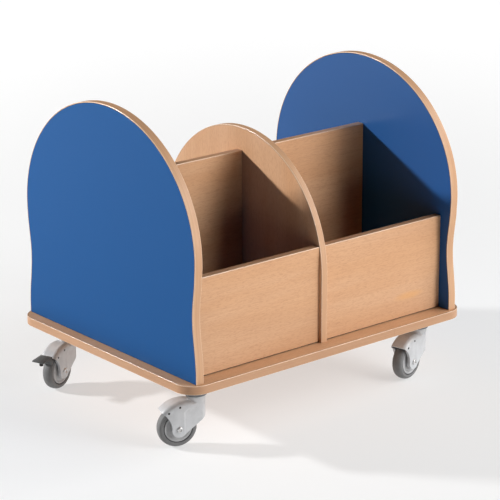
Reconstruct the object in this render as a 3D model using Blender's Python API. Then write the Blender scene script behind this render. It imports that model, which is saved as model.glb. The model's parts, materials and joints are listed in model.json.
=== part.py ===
"""Mobile book cart with four browsing bays, in metres, +Z up.

The origin is on the floor under the middle of the base plate. +X runs along the cart towards its
right end, and -Y points to its front. The casters swivel about vertical axes, their wheels spin on
their bolts, and the two back casters have a pedal brake.
"""

import math

import bmesh
import bpy
from mathutils import Vector

# Fitting gap between touching pieces
GAP = 0.0003

# Boards
BASE_LENGTH = 0.780
BASE_DEPTH = 0.610
BASE_CORNER_RADIUS = 0.045
OUTER_BOARD = 0.019
INNER_BOARD = 0.018
DIVIDER_BOARD = 0.016
EDGE_BAND = 0.002
BASE_UNDERSIDE = 0.139
BASE_TOP = BASE_UNDERSIDE + OUTER_BOARD

# End panels: the distance of their outer faces from the base's ends, and their outline above the base
END_INSET = 0.0245
PANEL_TOP_HALF_WIDTH = 0.2964
PANEL_TOP_RISE = 0.2725
PANEL_TOP_CENTRE = 0.257
PANEL_SHOULDER = (0.2954, 0.240)
PANEL_WAIST = (0.2864, 0.138)
PANEL_FOOT = (0.2965, 0.020)

# Cross divider: straight sides under a round top
DIVIDER_HALF_WIDTH = 0.272
DIVIDER_TOP_CENTRE = 0.150

PARTITION_HEIGHT = 0.3706
BOARD_HEIGHT = 0.213
BOARD_FACE = 0.2635

# Casters: distance of the swivel axis from the base's edges, and the lie of each wheel at rest
SWIVEL_INSET_X = 0.0741
SWIVEL_INSET_Y = 0.0755
TRAIL_ANGLES = {
    "front_left": 161.0,
    "back_left": 200.5,
    "front_right": 192.5,
    "back_right": 187.0,
}
BRAKED = ("back_left", "back_right")
TRAIL = 0.0424
WHEEL_RADIUS = 0.0427
HUB_RADIUS = 0.0302
BOLT_RADIUS = 0.004

# Caster fork, seen from the side (trail direction, height) and from above (trail direction, width)
FORK_HALF_WIDTH = 0.0211
FORK_WALL = 0.0025
ROOF_CENTRE = (0.033, 0.043)
ROOF_RADIUS = 0.0598
ROOF_ROUNDING = 0.0105
NOSE_CENTRE = -0.0049
NOSE_RADIUS = 0.015
CREASE = 0.030
LUG_RADIUS = 0.0165
COLLAR_RADIUS = 0.0203
COLLAR_TOP = 0.1086
KINGPIN_RADIUS = 0.006
PIVOT_HOLE = (0.041, 0.0908)
REAR_HOLE = (0.065, 0.0808)
PIN_RADIUS = 0.0015


def clear_scene():
    for item in list(bpy.data.objects):
        bpy.data.objects.remove(item)


def make_material(name, colour, roughness, metallic=0.0):
    material = bpy.data.materials.new(name)
    material.use_nodes = True
    shader = material.node_tree.nodes["Principled BSDF"]
    shader.inputs["Base Color"].default_value = (*colour, 1.0)
    shader.inputs["Roughness"].default_value = roughness
    shader.inputs["Metallic"].default_value = metallic
    return material


def finish_mesh(name, bm, material, crease_degrees=None):
    """Turn a bmesh into a closed mesh facing outwards, shaded smooth up to a crease angle."""
    bmesh.ops.recalc_face_normals(bm, faces=bm.faces)
    mesh = bpy.data.meshes.new(name)
    bm.to_mesh(mesh)
    bm.free()
    mesh.materials.append(material)
    if crease_degrees is not None:
        mesh.shade_smooth()
        mesh.set_sharp_from_angle(angle=math.radians(crease_degrees))
    return mesh


def place(name, mesh, parent=None, location=(0, 0, 0)):
    item = bpy.data.objects.new(name, mesh)
    bpy.context.scene.collection.objects.link(item)
    item.parent = parent
    item.location = location
    return item


def place_empty(name, location, turn=0.0, parent=None):
    """An empty on a joint's axis; turn is its angle about Z in degrees."""
    item = place(name, None, parent, location)
    item.rotation_euler = (0, 0, math.radians(turn))
    return item


def arc(centre, radius, start, end, steps):
    """Points on a circular arc, angles in degrees."""
    angles = (math.radians(start + (end - start) * i / steps) for i in range(steps + 1))
    return [(centre[0] + radius * math.cos(a), centre[1] + radius * math.sin(a)) for a in angles]


def on_plane(axis, point, level):
    """A plane outline's point in space; axis is the direction the outline is extruded along."""
    u, v = point
    return {"X": (level, u, v), "Y": (u, level, v), "Z": (u, v, level)}[axis]


def extrude_faces(bm, axis, distance):
    grown = bmesh.ops.extrude_face_region(bm, geom=list(bm.faces))
    moved = [v for v in grown["geom"] if isinstance(v, bmesh.types.BMVert)]
    bmesh.ops.translate(bm, verts=moved, vec=Vector(on_plane(axis, (0, 0), distance)))


def prism(axis, outline, low, high):
    """A closed outline extruded from low to high along an axis."""
    bm = bmesh.new()
    bm.faces.new([bm.verts.new(on_plane(axis, p, low)) for p in outline])
    extrude_faces(bm, axis, high - low)
    return bm


def strip(axis, outer, inner, low, high, closed):
    """A band between two outlines with matching points, extruded along an axis."""
    bm = bmesh.new()
    outside = [bm.verts.new(on_plane(axis, p, low)) for p in outer]
    inside = [bm.verts.new(on_plane(axis, p, low)) for p in inner]
    count = len(outer)
    for i in range(count if closed else count - 1):
        j = (i + 1) % count
        bm.faces.new([outside[i], outside[j], inside[j], inside[i]])
    extrude_faces(bm, axis, high - low)
    return bm


def turned(profile, steps):
    """A closed profile of (radius, height) points spun a full turn about Z."""
    bm = bmesh.new()
    verts = [bm.verts.new((r, 0, h)) for r, h in profile]
    edges = [bm.edges.new((verts[i], verts[(i + 1) % len(verts)])) for i in range(len(verts))]
    bmesh.ops.spin(bm, geom=verts + edges, axis=(0, 0, 1), cent=(0, 0, 0), angle=math.tau, steps=steps)
    bmesh.ops.remove_doubles(bm, verts=bm.verts, dist=1e-6)
    bmesh.ops.dissolve_degenerate(bm, dist=1e-7, edges=bm.edges)
    return bm


def tip_sideways(bm):
    """Turn a mesh so that its Z axis lies along +Y."""
    for v in bm.verts:
        v.co = Vector((v.co.x, v.co.z, -v.co.y))
    return bm


def inset_outline(points, distance, closed):
    """Move a counter-clockwise outline inwards by a distance."""
    count = len(points)
    moved = []
    for i, (u, v) in enumerate(points):
        before = points[i - 1] if closed or i > 0 else points[i]
        after = points[(i + 1) % count] if closed or i < count - 1 else points[i]
        normals = []
        for a, b in ((before, (u, v)), ((u, v), after)):
            side = Vector((a[1] - b[1], b[0] - a[0]))
            if side.length > 0:
                normals.append(side.normalized())
        mean = sum(normals, Vector((0, 0))).normalized()
        reach = distance / mean.dot(normals[0])
        moved.append((u + mean.x * reach, v + mean.y * reach))
    return moved


def ease(low, high, count):
    """Points that swing from one (half width, height) to another like half a cosine wave."""
    steps = []
    for i in range(count):
        share = i / count
        bend = (1 - math.cos(math.pi * share)) / 2
        steps.append((low[0] + (high[0] - low[0]) * bend, low[1] + (high[1] - low[1]) * share))
    return steps


def mirrored(side):
    """A right-hand flank followed by its mirror image, from foot to foot over the top."""
    return side + [(-y, z) for y, z in reversed(side)]


def raised(points, height):
    return [(y, z + height) for y, z in points]


def panel_outline():
    """End panel: a half ellipse that draws in to a waist and widens again at the foot."""
    side = [(PANEL_FOOT[0], 0.0)]
    side += ease(PANEL_FOOT, PANEL_WAIST, 6)
    side += ease(PANEL_WAIST, PANEL_SHOULDER, 6)
    steps = 16
    start = math.asin((PANEL_SHOULDER[1] - PANEL_TOP_CENTRE) / PANEL_TOP_RISE)
    for i in range(steps):
        angle = start + (math.pi / 2 - start) * (i + 0.5) / steps
        side.append((PANEL_TOP_HALF_WIDTH * math.cos(angle),
                     PANEL_TOP_CENTRE + PANEL_TOP_RISE * math.sin(angle)))
    return raised(mirrored(side), BASE_TOP + GAP)


def divider_outline():
    """Cross divider: straight sides that run into a half circle."""
    steps = 16
    side = [(DIVIDER_HALF_WIDTH, 0.0)]
    for i in range(steps):
        angle = math.pi / 2 * i / (steps - 0.5)
        side.append((DIVIDER_HALF_WIDTH * math.cos(angle),
                     DIVIDER_TOP_CENTRE + DIVIDER_HALF_WIDTH * math.sin(angle)))
    return raised(mirrored(side), BASE_TOP + GAP)


def base_outline():
    x = BASE_LENGTH / 2 - BASE_CORNER_RADIUS
    y = BASE_DEPTH / 2 - BASE_CORNER_RADIUS
    points = []
    for centre, start in (((x, y), 0), ((-x, y), 90), ((-x, -y), 180), ((x, -y), 270)):
        points += arc(centre, BASE_CORNER_RADIUS, start, start + 90, 8)
    return points


def banded_board(name, axis, outline, low, high, closed, face, band):
    """A board with a glued edge band along its outline."""
    inner = inset_outline(outline, EDGE_BAND, closed)
    core = inset_outline(outline, EDGE_BAND + GAP, closed)
    place(name, finish_mesh(name, prism(axis, core, low, high), face, 30))
    edge = strip(axis, outline, inner, low, high, closed)
    place(name + "_edge_band", finish_mesh(name + "_edge_band", edge, band, 30))


def box_outline(low, high):
    return [low, (high[0], low[1]), high, (low[0], high[1])]


def upright_board(name, spans, top, face, band):
    """A rectangular board that stands on the base, with a band on its top edge."""
    (x0, x1), (y0, y1) = spans
    body_top = top - EDGE_BAND - GAP
    outline = box_outline((x0, y0), (x1, y1))
    place(name, finish_mesh(name, prism("Z", outline, BASE_TOP + GAP, body_top), face))
    edge = finish_mesh(name + "_edge_band", prism("Z", outline, top - EDGE_BAND, top), band)
    place(name + "_edge_band", edge)


def build_body(beech, edging, blue):
    banded_board("base_plate", "Z", base_outline(), BASE_UNDERSIDE, BASE_TOP, True, beech, edging)

    outer_face = BASE_LENGTH / 2 - END_INSET
    inner_face = outer_face - OUTER_BOARD
    outline = panel_outline()
    banded_board("left_end_panel", "X", outline, -outer_face, -inner_face, False, blue, edging)
    banded_board("right_end_panel", "X", outline, inner_face, outer_face, False, blue, edging)

    half = DIVIDER_BOARD / 2
    banded_board("cross_divider", "X", divider_outline(), -half, half, False, beech, edging)

    near, far = half + GAP, inner_face - GAP
    board_back = BOARD_FACE - INNER_BOARD
    for side, span in (("left", (-far, -near)), ("right", (near, far))):
        rows = {
            "partition": ((-INNER_BOARD / 2, INNER_BOARD / 2), PARTITION_HEIGHT),
            "front_board": ((-BOARD_FACE, -board_back), BOARD_HEIGHT),
            "back_board": ((board_back, BOARD_FACE), BOARD_HEIGHT),
        }
        for kind, (depth, height) in rows.items():
            upright_board(f"{side}_{kind}", (span, depth), BASE_TOP + height, beech, edging)


def cut(item, cutter, operation):
    modifier = item.modifiers.new(cutter.name, "BOOLEAN")
    modifier.operation = operation
    modifier.object = cutter
    modifier.solver = "EXACT"


def guide(name, bm):
    """A mesh that only shapes another one."""
    mesh = bpy.data.meshes.new(name)
    bmesh.ops.recalc_face_normals(bm, faces=bm.faces)
    bm.to_mesh(mesh)
    bm.free()
    item = place(name, mesh)
    item.hide_render = True
    item.display_type = "WIRE"
    return item


def carve(name, bm, steps, material, crease_degrees):
    """Apply a list of (operation, bmesh) to a solid and return the mesh that is left."""
    whole = guide(name, bm)
    guides = [whole]
    for index, (operation, tool) in enumerate(steps):
        guides.append(guide(f"{name}_step_{index}", tool))
        cut(whole, guides[-1], operation)
    shape = whole.evaluated_get(bpy.context.evaluated_depsgraph_get())
    result = bmesh.new()
    result.from_mesh(bpy.data.meshes.new_from_object(shape))
    bmesh.ops.remove_doubles(result, verts=result.verts, dist=2e-6)
    for item in guides:
        bpy.data.objects.remove(item)
    return finish_mesh(name, result, material, crease_degrees)


def across(centre, radius, half_length, sides):
    """A cylinder across the fork, for its holes."""
    return prism("Y", arc(centre, radius, 0, 360 - 360 / sides, sides - 1), -half_length, half_length)


def fork_plan(radius, half_width, crease):
    """The fork from above: a round nose that widens to flat cheeks."""
    reach = math.hypot(crease - NOSE_CENTRE, half_width)
    touch = math.degrees(math.atan2(half_width, crease - NOSE_CENTRE) + math.acos(radius / reach))
    nose = arc((NOSE_CENTRE, 0), radius, touch, 360 - touch, 8)
    far = 0.12
    return nose + [(crease, -half_width), (far, -half_width), (far, half_width), (crease, half_width)]


def fork_side():
    """The fork's cheek: the roof's arc, the nose, the lug round the bolt and the rear cut-out."""
    roof = arc(ROOF_CENTRE, ROOF_RADIUS, 40.6, 108.3, 9)
    nose = [(-0.0215, 0.0990), (-0.0215, 0.0672), (-0.0125, 0.0590)]
    lug = arc((TRAIL, WHEEL_RADIUS - 0.001), LUG_RADIUS, 236, 374, 7)
    cut_out = [(0.0598, 0.0560), (0.0630, 0.0640), (0.0680, 0.0718)]
    return roof + nose + lug + cut_out


def round_roof(bm, lowest, radius, segments):
    """Round the two long edges between the roof and the cheeks, which are the side edges above a height."""
    edges = [e for e in bm.edges
             if abs(e.verts[0].co.y - e.verts[1].co.y) < 1e-6 and min(v.co.z for v in e.verts) > lowest]
    bmesh.ops.bevel(bm, geom=edges, offset=radius, segments=segments, profile=0.5, affect="EDGES")
    return bm


def fork_cavity():
    """The side outline of the space inside the fork, open to the rear and below."""
    roof = arc(ROOF_CENTRE, ROOF_RADIUS - FORK_WALL, 20, 101.5, 9)
    return roof + [(0.012, 0.097), (-0.030, 0.097), (-0.030, 0.005), (0.130, 0.005), (0.130, 0.045)]


def fork_mesh(material):
    """Hooded fork: cheeks, roof and nose in one pressing, with a turned collar on top."""
    wide = FORK_HALF_WIDTH
    hull = round_roof(prism("Y", fork_side(), -wide, wide), 0.080, ROOF_ROUNDING, 4)
    plan = prism("Z", fork_plan(NOSE_RADIUS, wide + 0.001, CREASE + 0.0035), 0.0, 0.2)
    collar = turned([(0.0, 0.0895), (0.0155, 0.0895), (COLLAR_RADIUS, 0.0985),
                     (COLLAR_RADIUS, COLLAR_TOP), (0.0, COLLAR_TOP)], 20)

    inner = wide - FORK_WALL
    cavity = round_roof(prism("Y", fork_cavity(), -inner, inner), 0.060, ROOF_ROUNDING - FORK_WALL, 3)
    inner_plan = prism("Z", fork_plan(NOSE_RADIUS - FORK_WALL, inner + 0.001, CREASE + 0.0035), 0.0, 0.2)
    hollow = carve("fork_hollow", cavity, [("INTERSECT", inner_plan)], material, None)
    hollow_bm = bmesh.new()
    hollow_bm.from_mesh(hollow)

    bore = turned([(0.0, 0.08), (KINGPIN_RADIUS + GAP, 0.08), (KINGPIN_RADIUS + GAP, 0.12), (0.0, 0.12)], 12)
    axle = across((TRAIL, WHEEL_RADIUS), BOLT_RADIUS + GAP, 0.05, 12)
    pivot = across(PIVOT_HOLE, PIN_RADIUS + GAP, 0.05, 8)
    rear = across(REAR_HOLE, PIN_RADIUS + GAP, 0.05, 8)
    steps = [("INTERSECT", plan), ("UNION", collar), ("DIFFERENCE", hollow_bm), ("DIFFERENCE", bore),
             ("DIFFERENCE", axle), ("DIFFERENCE", pivot), ("DIFFERENCE", rear)]
    return carve("fork", hull, steps, material, 35)


def swivel_race_mesh(material):
    """The fixed cup that holds the swivel bearing, under the top plate."""
    bottom, top = COLLAR_TOP + 0.0008, BASE_UNDERSIDE - 0.0036
    bore = KINGPIN_RADIUS + GAP
    profile = [(bore, bottom), (0.0240, bottom), (0.0240, bottom + 0.009), (0.0210, bottom + 0.013),
               (0.0210, top), (bore, top)]
    return finish_mesh("swivel_race", turned(profile, 20), material, 40)


def kingpin_mesh(material):
    """The rivet that ties the fork to the race, with its head inside the fork."""
    head_low, head_high, top = 0.0930, 0.0967, BASE_UNDERSIDE - 0.0045
    profile = [(0.0, head_low), (0.0090, head_low), (0.0090, head_high), (KINGPIN_RADIUS, head_high),
               (KINGPIN_RADIUS, top), (0.0, top)]
    return finish_mesh("kingpin", turned(profile, 12), material, 40)


def top_plate_mesh(material):
    """The square plate that screws to the base, with rounded corners."""
    half, radius = 0.033, 0.006
    points = []
    for sx, sy, start in ((1, 1, 0), (-1, 1, 90), (-1, -1, 180), (1, -1, 270)):
        centre = (sx * (half - radius), sy * (half - radius))
        points += arc(centre, radius, start, start + 90, 3)
    low, high = BASE_UNDERSIDE - 0.0033, BASE_UNDERSIDE - GAP
    return finish_mesh("top_plate", prism("Z", points, low, high), material)


def hub_mesh(material):
    """Wheel hub: a dished disc with a raised boss round its bore and a rim that carries the tyre."""
    bore = BOLT_RADIUS + 0.00035
    side = [(bore, 0.0178), (0.0090, 0.0178), (0.0110, 0.0100), (0.0250, 0.0100), (HUB_RADIUS, 0.0112)]
    profile = side + [(r, -h) for r, h in reversed(side)]
    return finish_mesh("hub", tip_sideways(turned(profile, 20)), material, 40)


def tyre_mesh(material):
    """Rubber tyre with a crowned tread and rounded shoulders."""
    inner = HUB_RADIUS + GAP
    side = [(WHEEL_RADIUS, 0.0), (0.0421, 0.0066), (0.0398, 0.0108), (0.0365, 0.0122), (inner, 0.0112)]
    profile = [(r, -h) for r, h in reversed(side)] + side[1:]
    return finish_mesh("tyre", tip_sideways(turned(profile, 28)), material, 45)


def axle_bolt_mesh(material):
    """Wheel bolt with a low domed head on the outer cheek."""
    seat = FORK_HALF_WIDTH + GAP
    profile = [(0.0, -0.0285), (BOLT_RADIUS, -0.0285), (BOLT_RADIUS, seat), (0.0059, seat),
               (0.0059, seat + 0.0014), (0.0040, seat + 0.0030), (0.0, seat + 0.0030)]
    return finish_mesh("axle_bolt", tip_sideways(turned(profile, 12)), material, 35)


def axle_nut_mesh(material):
    """Hexagon nut on the bolt's far end."""
    low = FORK_HALF_WIDTH + GAP
    outer = arc((0, 0), 0.0075, 0, 330, 11)
    flats = [(u, v) if i % 2 == 0 else (u * math.cos(math.pi / 6), v * math.cos(math.pi / 6))
             for i, (u, v) in enumerate(outer)]
    inner = arc((0, 0), BOLT_RADIUS + GAP, 0, 330, 11)
    return finish_mesh("axle_nut", strip("Y", flats, inner, -low - 0.006, -low, True), material)


def brake_pedal_mesh(material):
    """Brake lever: an eye on the pivot pin, an arm over the tyre and a tread plate behind the hood."""
    eye = arc(PIVOT_HOLE, 0.0034, 90, 270, 6)
    underside = [(0.0500, 0.0869), (0.0600, 0.0840), (0.0700, 0.0791), (0.0776, 0.0722),
                 (0.0830, 0.0700), (0.0870, 0.0740), (0.0880, 0.0795), (0.1140, 0.0815)]
    top = [(0.1155, 0.0830), (0.1130, 0.0846), (0.0870, 0.0832), (0.0805, 0.0790), (0.0770, 0.0770),
           (0.0700, 0.0822), (0.0620, 0.0882), (0.0520, 0.0928)]
    lever = prism("Y", eye + underside + top, -0.0145, 0.0145)
    hole = across(PIVOT_HOLE, PIN_RADIUS + GAP, 0.03, 8)
    return carve("brake_pedal", lever, [("DIFFERENCE", hole)], material, 30)


def brake_buffer_mesh(material):
    """Rubber stub under the tread plate."""
    bm = prism("Z", arc((0.1010, 0.0), 0.0045, 0, 330, 11), 0.0700, 0.0800)
    return finish_mesh("brake_buffer", bm, material, 40)


def build_casters(colours):
    zinc, bright, dark, rubber, pedal = colours
    meshes = {
        "top_plate": top_plate_mesh(dark),
        "swivel_race": swivel_race_mesh(dark),
        "kingpin": kingpin_mesh(bright),
        "fork": fork_mesh(zinc),
        "hub": hub_mesh(zinc),
        "tyre": tyre_mesh(rubber),
        "axle_bolt": axle_bolt_mesh(bright),
        "axle_nut": axle_nut_mesh(bright),
        "brake_pedal": brake_pedal_mesh(pedal),
        "brake_buffer": brake_buffer_mesh(rubber),
    }
    pin = tip_sideways(turned([(0.0, -0.0205), (PIN_RADIUS, -0.0205), (PIN_RADIUS, 0.0205), (0.0, 0.0205)], 8))
    meshes["brake_pin"] = finish_mesh("brake_pin", pin, bright, 40)

    for corner, angle in TRAIL_ANGLES.items():
        x = (BASE_LENGTH / 2 - SWIVEL_INSET_X) * (-1 if corner.endswith("left") else 1)
        y = (BASE_DEPTH / 2 - SWIVEL_INSET_Y) * (-1 if corner.startswith("front") else 1)
        mounting = place_empty(corner + "_caster_mounting", (x, y, 0))
        swivel = place_empty(corner + "_swivel", (0, 0, 0), angle, mounting)
        axle = place_empty(corner + "_wheel_axis", (TRAIL, 0, WHEEL_RADIUS), 0, swivel)
        for kind in ("top_plate", "swivel_race", "kingpin"):
            place(f"{corner}_{kind}", meshes[kind], mounting)
        place(f"{corner}_fork", meshes["fork"], swivel)
        for kind in ("hub", "tyre", "axle_bolt", "axle_nut"):
            place(f"{corner}_{kind}", meshes[kind], axle)
        if corner in BRAKED:
            pivot = place_empty(corner + "_brake_axis", (PIVOT_HOLE[0], 0, PIVOT_HOLE[1]), 0, swivel)
            place(f"{corner}_brake_pin", meshes["brake_pin"], pivot)
            for kind in ("brake_pedal", "brake_buffer"):
                back = (-PIVOT_HOLE[0], 0, -PIVOT_HOLE[1])
                place(f"{corner}_{kind}", meshes[kind], pivot, back)


def main():
    clear_scene()
    beech = make_material("beech_board", (0.60, 0.33, 0.18), 0.45)
    edging = make_material("beech_edging", (0.62, 0.35, 0.19), 0.42)
    blue = make_material("blue_laminate", (0.035, 0.130, 0.340), 0.40)
    build_body(beech, edging, blue)
    build_casters((
        make_material("painted_fork", (0.47, 0.47, 0.46), 0.42, 0.3),
        make_material("bright_zinc", (0.72, 0.72, 0.72), 0.28, 1.0),
        make_material("dark_zinc", (0.10, 0.10, 0.10), 0.45, 0.8),
        make_material("grey_rubber", (0.16, 0.16, 0.16), 0.65),
        make_material("pedal_plastic", (0.09, 0.09, 0.09), 0.55),
    ))


main()
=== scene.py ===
"""Looks of the mobile book cart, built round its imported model. All lengths are in metres.

+X runs along the cart towards its right end, -Y points to its front and +Z up, with the floor at 0.
Boards and caster parts are rebuilt here with fine outlines, rounded edges and node materials; their
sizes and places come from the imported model's boxes and joints.
"""

import json
import math

import bmesh
import bpy
from mathutils import Matrix, Vector


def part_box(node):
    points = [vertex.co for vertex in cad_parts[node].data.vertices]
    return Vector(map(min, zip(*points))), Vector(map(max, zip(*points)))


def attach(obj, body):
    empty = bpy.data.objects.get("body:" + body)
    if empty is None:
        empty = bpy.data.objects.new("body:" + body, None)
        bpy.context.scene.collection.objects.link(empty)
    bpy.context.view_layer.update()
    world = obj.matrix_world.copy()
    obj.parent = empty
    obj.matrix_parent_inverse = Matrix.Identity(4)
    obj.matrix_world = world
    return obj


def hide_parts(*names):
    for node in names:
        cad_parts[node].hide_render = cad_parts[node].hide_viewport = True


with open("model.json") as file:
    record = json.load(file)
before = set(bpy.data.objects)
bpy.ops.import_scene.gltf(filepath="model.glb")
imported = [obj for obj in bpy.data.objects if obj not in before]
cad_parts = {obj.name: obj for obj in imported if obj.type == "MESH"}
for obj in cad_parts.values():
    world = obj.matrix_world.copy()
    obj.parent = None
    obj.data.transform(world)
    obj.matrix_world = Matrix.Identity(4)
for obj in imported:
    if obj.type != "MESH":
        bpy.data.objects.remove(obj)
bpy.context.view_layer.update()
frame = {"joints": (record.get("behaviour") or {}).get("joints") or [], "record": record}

# Camera
CAMERA_AZIMUTH = 39.566
CAMERA_PITCH = 17.854
CAMERA_ROLL = -0.214
CAMERA_DISTANCE = 4.9103
CAMERA_LENS = 160.77
AIM_ACROSS = 0.0160
AIM_HEIGHT = 0.2979

# Edge bands: thickness, radius of the outer corners, and the gap to the board's core
EDGE_BAND = 0.002
ARRIS = 0.0015
BASE_ARRIS = 0.0008
GLUE_LINE = 0.00008
# The strips of a band's section that lie on its rounded corners, in band_section's order
ARRIS_STRIPS = (1, 2, 3, 4, 6, 7, 8, 9)

# Board cores: how far their edges are eased, the gap under an upright board, and the height of the painted
# shadow strip at its foot
FINE = 0.0004
PANEL_EASING = 0.0008
BOTTOM_JOINT = 0.0010
FOOT_SHADOW_HEIGHT = 0.0010

# Base plate: corner radius, and the seam where its band's ends meet on the front edge
BASE_CORNER_RADIUS = 0.045
SEAM_X = 0.1737
SEAM_WIDTH = 0.0003

# End panel outline above the base: (half width, height) at the foot, waist and shoulder, then a half ellipse
PANEL_FOOT = (0.2965, 0.020)
PANEL_WAIST = (0.2864, 0.138)
PANEL_SHOULDER = (0.2954, 0.240)
PANEL_TOP_HALF_WIDTH = 0.2964
PANEL_TOP_CENTRE = 0.257
EASE_STEPS = 14
ROUND_STEPS = 44

# Casters, in a frame with +X along the trail, +Y across the wheel and 0 on the floor under the swivel
TRAIL = 0.0424
WHEEL_RADIUS = 0.0427
HUB_RADIUS = 0.0302
BOLT_RADIUS = 0.004
RUNNING_GAP = 0.0003
FORK_HALF_WIDTH = 0.0211
FORK_WALL = 0.0025
LUG_CENTRE = (TRAIL, WHEEL_RADIUS - 0.001)
LUG_RADIUS = 0.0165
ROOF_CENTRE = (0.033, 0.043)
ROOF_RADIUS = 0.0598
ROOF_ROUNDING = 0.0105
ROOF_LOWEST = 0.080
LIP_HALF_WIDTH = 0.0140
NOSE_CENTRE = -0.0030
NOSE_RADIUS = 0.0172
JOGGLE_DEPTH = 0.0018
JOGGLE_LENGTH = 0.0030
CREASE_LOW = 0.0335
CREASE_HIGH = 0.0150
COLLAR_RADIUS = 0.0203
COLLAR_TOP = 0.1086
KINGPIN_RADIUS = 0.006
PIVOT_HOLE = (0.041, 0.0908)
REAR_HOLE = (0.065, 0.0808)
PIN_RADIUS = 0.0015
SMALL_HOLE_RADIUS = 0.0025
PEDAL_HALF_WIDTH = 0.0145
RIB_PITCH = 0.0052
PLATE_LOW = 0.1357
PLATE_HIGH = 0.1387
PLATE_SCREW_OFFSET = 0.0265

# Stage, and its lights as (name, azimuth, elevation, distance, width, height, share)
FLOOR_LEVEL = -0.0005
FLOOR_HALF = 45.0
WALL_RADIUS = 40.0
WALL_HEIGHT = 30.0
WHITE = (1.0, 1.0, 1.0, 1.0)
LIGHTS = (("key_light", 224, 20.7, 5.0, 0.50, 0.20, 1.27),
          ("low_front_light", 25, 5, 5.0, 1.4, 0.9, 0.28),
          ("front_light", 28, 31, 5.0, 2.2, 2.0, 0.53),
          ("right_light", 64, 34, 5.0, 2.2, 2.4, 0.42))

SLOTS = {part["node"]: part["material_slot"] for part in frame["record"]["subparts"]}
CORNERS = ("front_left", "back_left", "front_right", "back_right")


# ---------------------------------------------------------------- materials

def node(tree, kind, inputs=None, **settings):
    """Add a shader node; an input's value is a number, a tuple or another node's output."""
    made = tree.nodes.new("ShaderNode" + kind)
    for key, value in settings.items():
        setattr(made, key, value)
    for key, value in (inputs or {}).items():
        if isinstance(value, bpy.types.NodeSocket):
            tree.links.new(value, made.inputs[key])
        else:
            made.inputs[key].default_value = value
    return made


def colour(*rgb):
    return (*rgb, 1.0)


def new_material(name, roughness, metallic=0.0, specular=0.5):
    material = bpy.data.materials.new(name)
    material.use_nodes = True
    shader = material.node_tree.nodes["Principled BSDF"]
    shader.inputs["Roughness"].default_value = roughness
    shader.inputs["Metallic"].default_value = metallic
    shader.inputs["Specular IOR Level"].default_value = specular
    return material, material.node_tree, shader


def noise(tree, scale, stretch=(1, 1, 1), detail=2.0, roughness=0.5, offset=(0, 0, 0)):
    """Noise in object space; stretch above 1 packs it tighter along that axis."""
    here = node(tree, "TexCoord").outputs["Object"]
    spread = node(tree, "Mapping", {"Vector": here, "Scale": stretch, "Location": offset})
    return node(tree, "TexNoise", {"Vector": spread.outputs[0], "Scale": scale, "Detail": detail,
                                   "Roughness": roughness}).outputs["Fac"]


def ramp(tree, value, low, high):
    """Map a value's range from low to high smoothly onto 0 to 1."""
    spread = node(tree, "MapRange", {"Value": value, "From Min": low, "From Max": high},
                  interpolation_type="SMOOTHSTEP")
    return spread.outputs["Result"]


def blend_colour(tree, share, first, second):
    """Mix two colours; sockets 0, 6 and 7 are the Mix node's factor and its two colours."""
    mix = node(tree, "Mix", data_type="RGBA", blend_type="MIX")
    for index, value in ((0, share), (6, first), (7, second)):
        if isinstance(value, bpy.types.NodeSocket):
            tree.links.new(value, mix.inputs[index])
        else:
            mix.inputs[index].default_value = value
    return mix.outputs[2]


def scaled(tree, value, factor, shift=0.0):
    """The value times a factor, plus a shift."""
    return node(tree, "Math", {0: value, 1: factor, 2: shift}, operation="MULTIPLY_ADD").outputs[0]


def bump(tree, shader, height, distance, strength=1.0):
    made = node(tree, "Bump", {"Height": height, "Distance": distance, "Strength": strength})
    tree.links.new(made.outputs[0], shader.inputs["Normal"])


def along(axis, lengthwise, crosswise):
    """Stretch for grain along an axis: low frequency lengthwise, high crosswise."""
    return tuple(lengthwise if name in axis else crosswise for name in "XYZ")


def beech_board(name, axis, seed, light, warm, brown, patch=None):
    """Beech decor: slow figure, fine streaks and short dark flecks, all running along one axis.

    A patch is a (centre, reach, colour) that shifts the colour towards a warmer one around one spot.
    """
    material, tree, shader = new_material(name, 0.46, specular=0.20)
    shift = (seed * 1.37, seed * 0.71, seed * 2.13)
    figure = noise(tree, 1.0, along(axis, 1.3, 13.0), 3.0, 0.55, shift)
    tone = blend_colour(tree, ramp(tree, figure, 0.34, 0.66), light, warm)
    cloud = noise(tree, 1.0, along(axis, 3.0, 9.0), 1.0, 0.5, shift)
    tone = blend_colour(tree, scaled(tree, ramp(tree, cloud, 0.55, 0.75), 0.14), tone, brown)
    streak = noise(tree, 1.0, along(axis, 8.0, 330.0), 2.0, 0.6, shift)
    tone = blend_colour(tree, scaled(tree, ramp(tree, streak, 0.35, 0.75), 0.16), tone, brown)
    dash = noise(tree, 1.0, along(axis, 90.0, 560.0), 1.0, 0.4, shift)
    tone = blend_colour(tree, scaled(tree, ramp(tree, dash, 0.53, 0.66), 0.20), tone, brown)
    fleck = noise(tree, 1.0, along(axis, 130.0, 760.0), 1.0, 0.4, shift)
    flecks = ramp(tree, fleck, 0.57, 0.70)
    tone = blend_colour(tree, scaled(tree, flecks, 0.24), tone, brown)
    if patch is not None:
        centre, reach, warmth = patch
        here = node(tree, "TexCoord").outputs["Object"]
        offset = node(tree, "VectorMath", {0: here, 1: centre}, operation="SUBTRACT").outputs[0]
        share = node(tree, "VectorMath", {0: offset, 1: reach}, operation="DIVIDE").outputs[0]
        far = node(tree, "VectorMath", {0: share}, operation="LENGTH").outputs["Value"]
        near = scaled(tree, ramp(tree, far, 0.2, 1.0), -0.55, 0.55)
        tone = blend_colour(tree, near, tone, warmth)
    tree.links.new(tone, shader.inputs["Base Color"])
    tree.links.new(scaled(tree, streak, 0.10, 0.39), shader.inputs["Roughness"])
    bump(tree, shader, scaled(tree, flecks, -1.0), 0.00012, 0.5)
    return material


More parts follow.
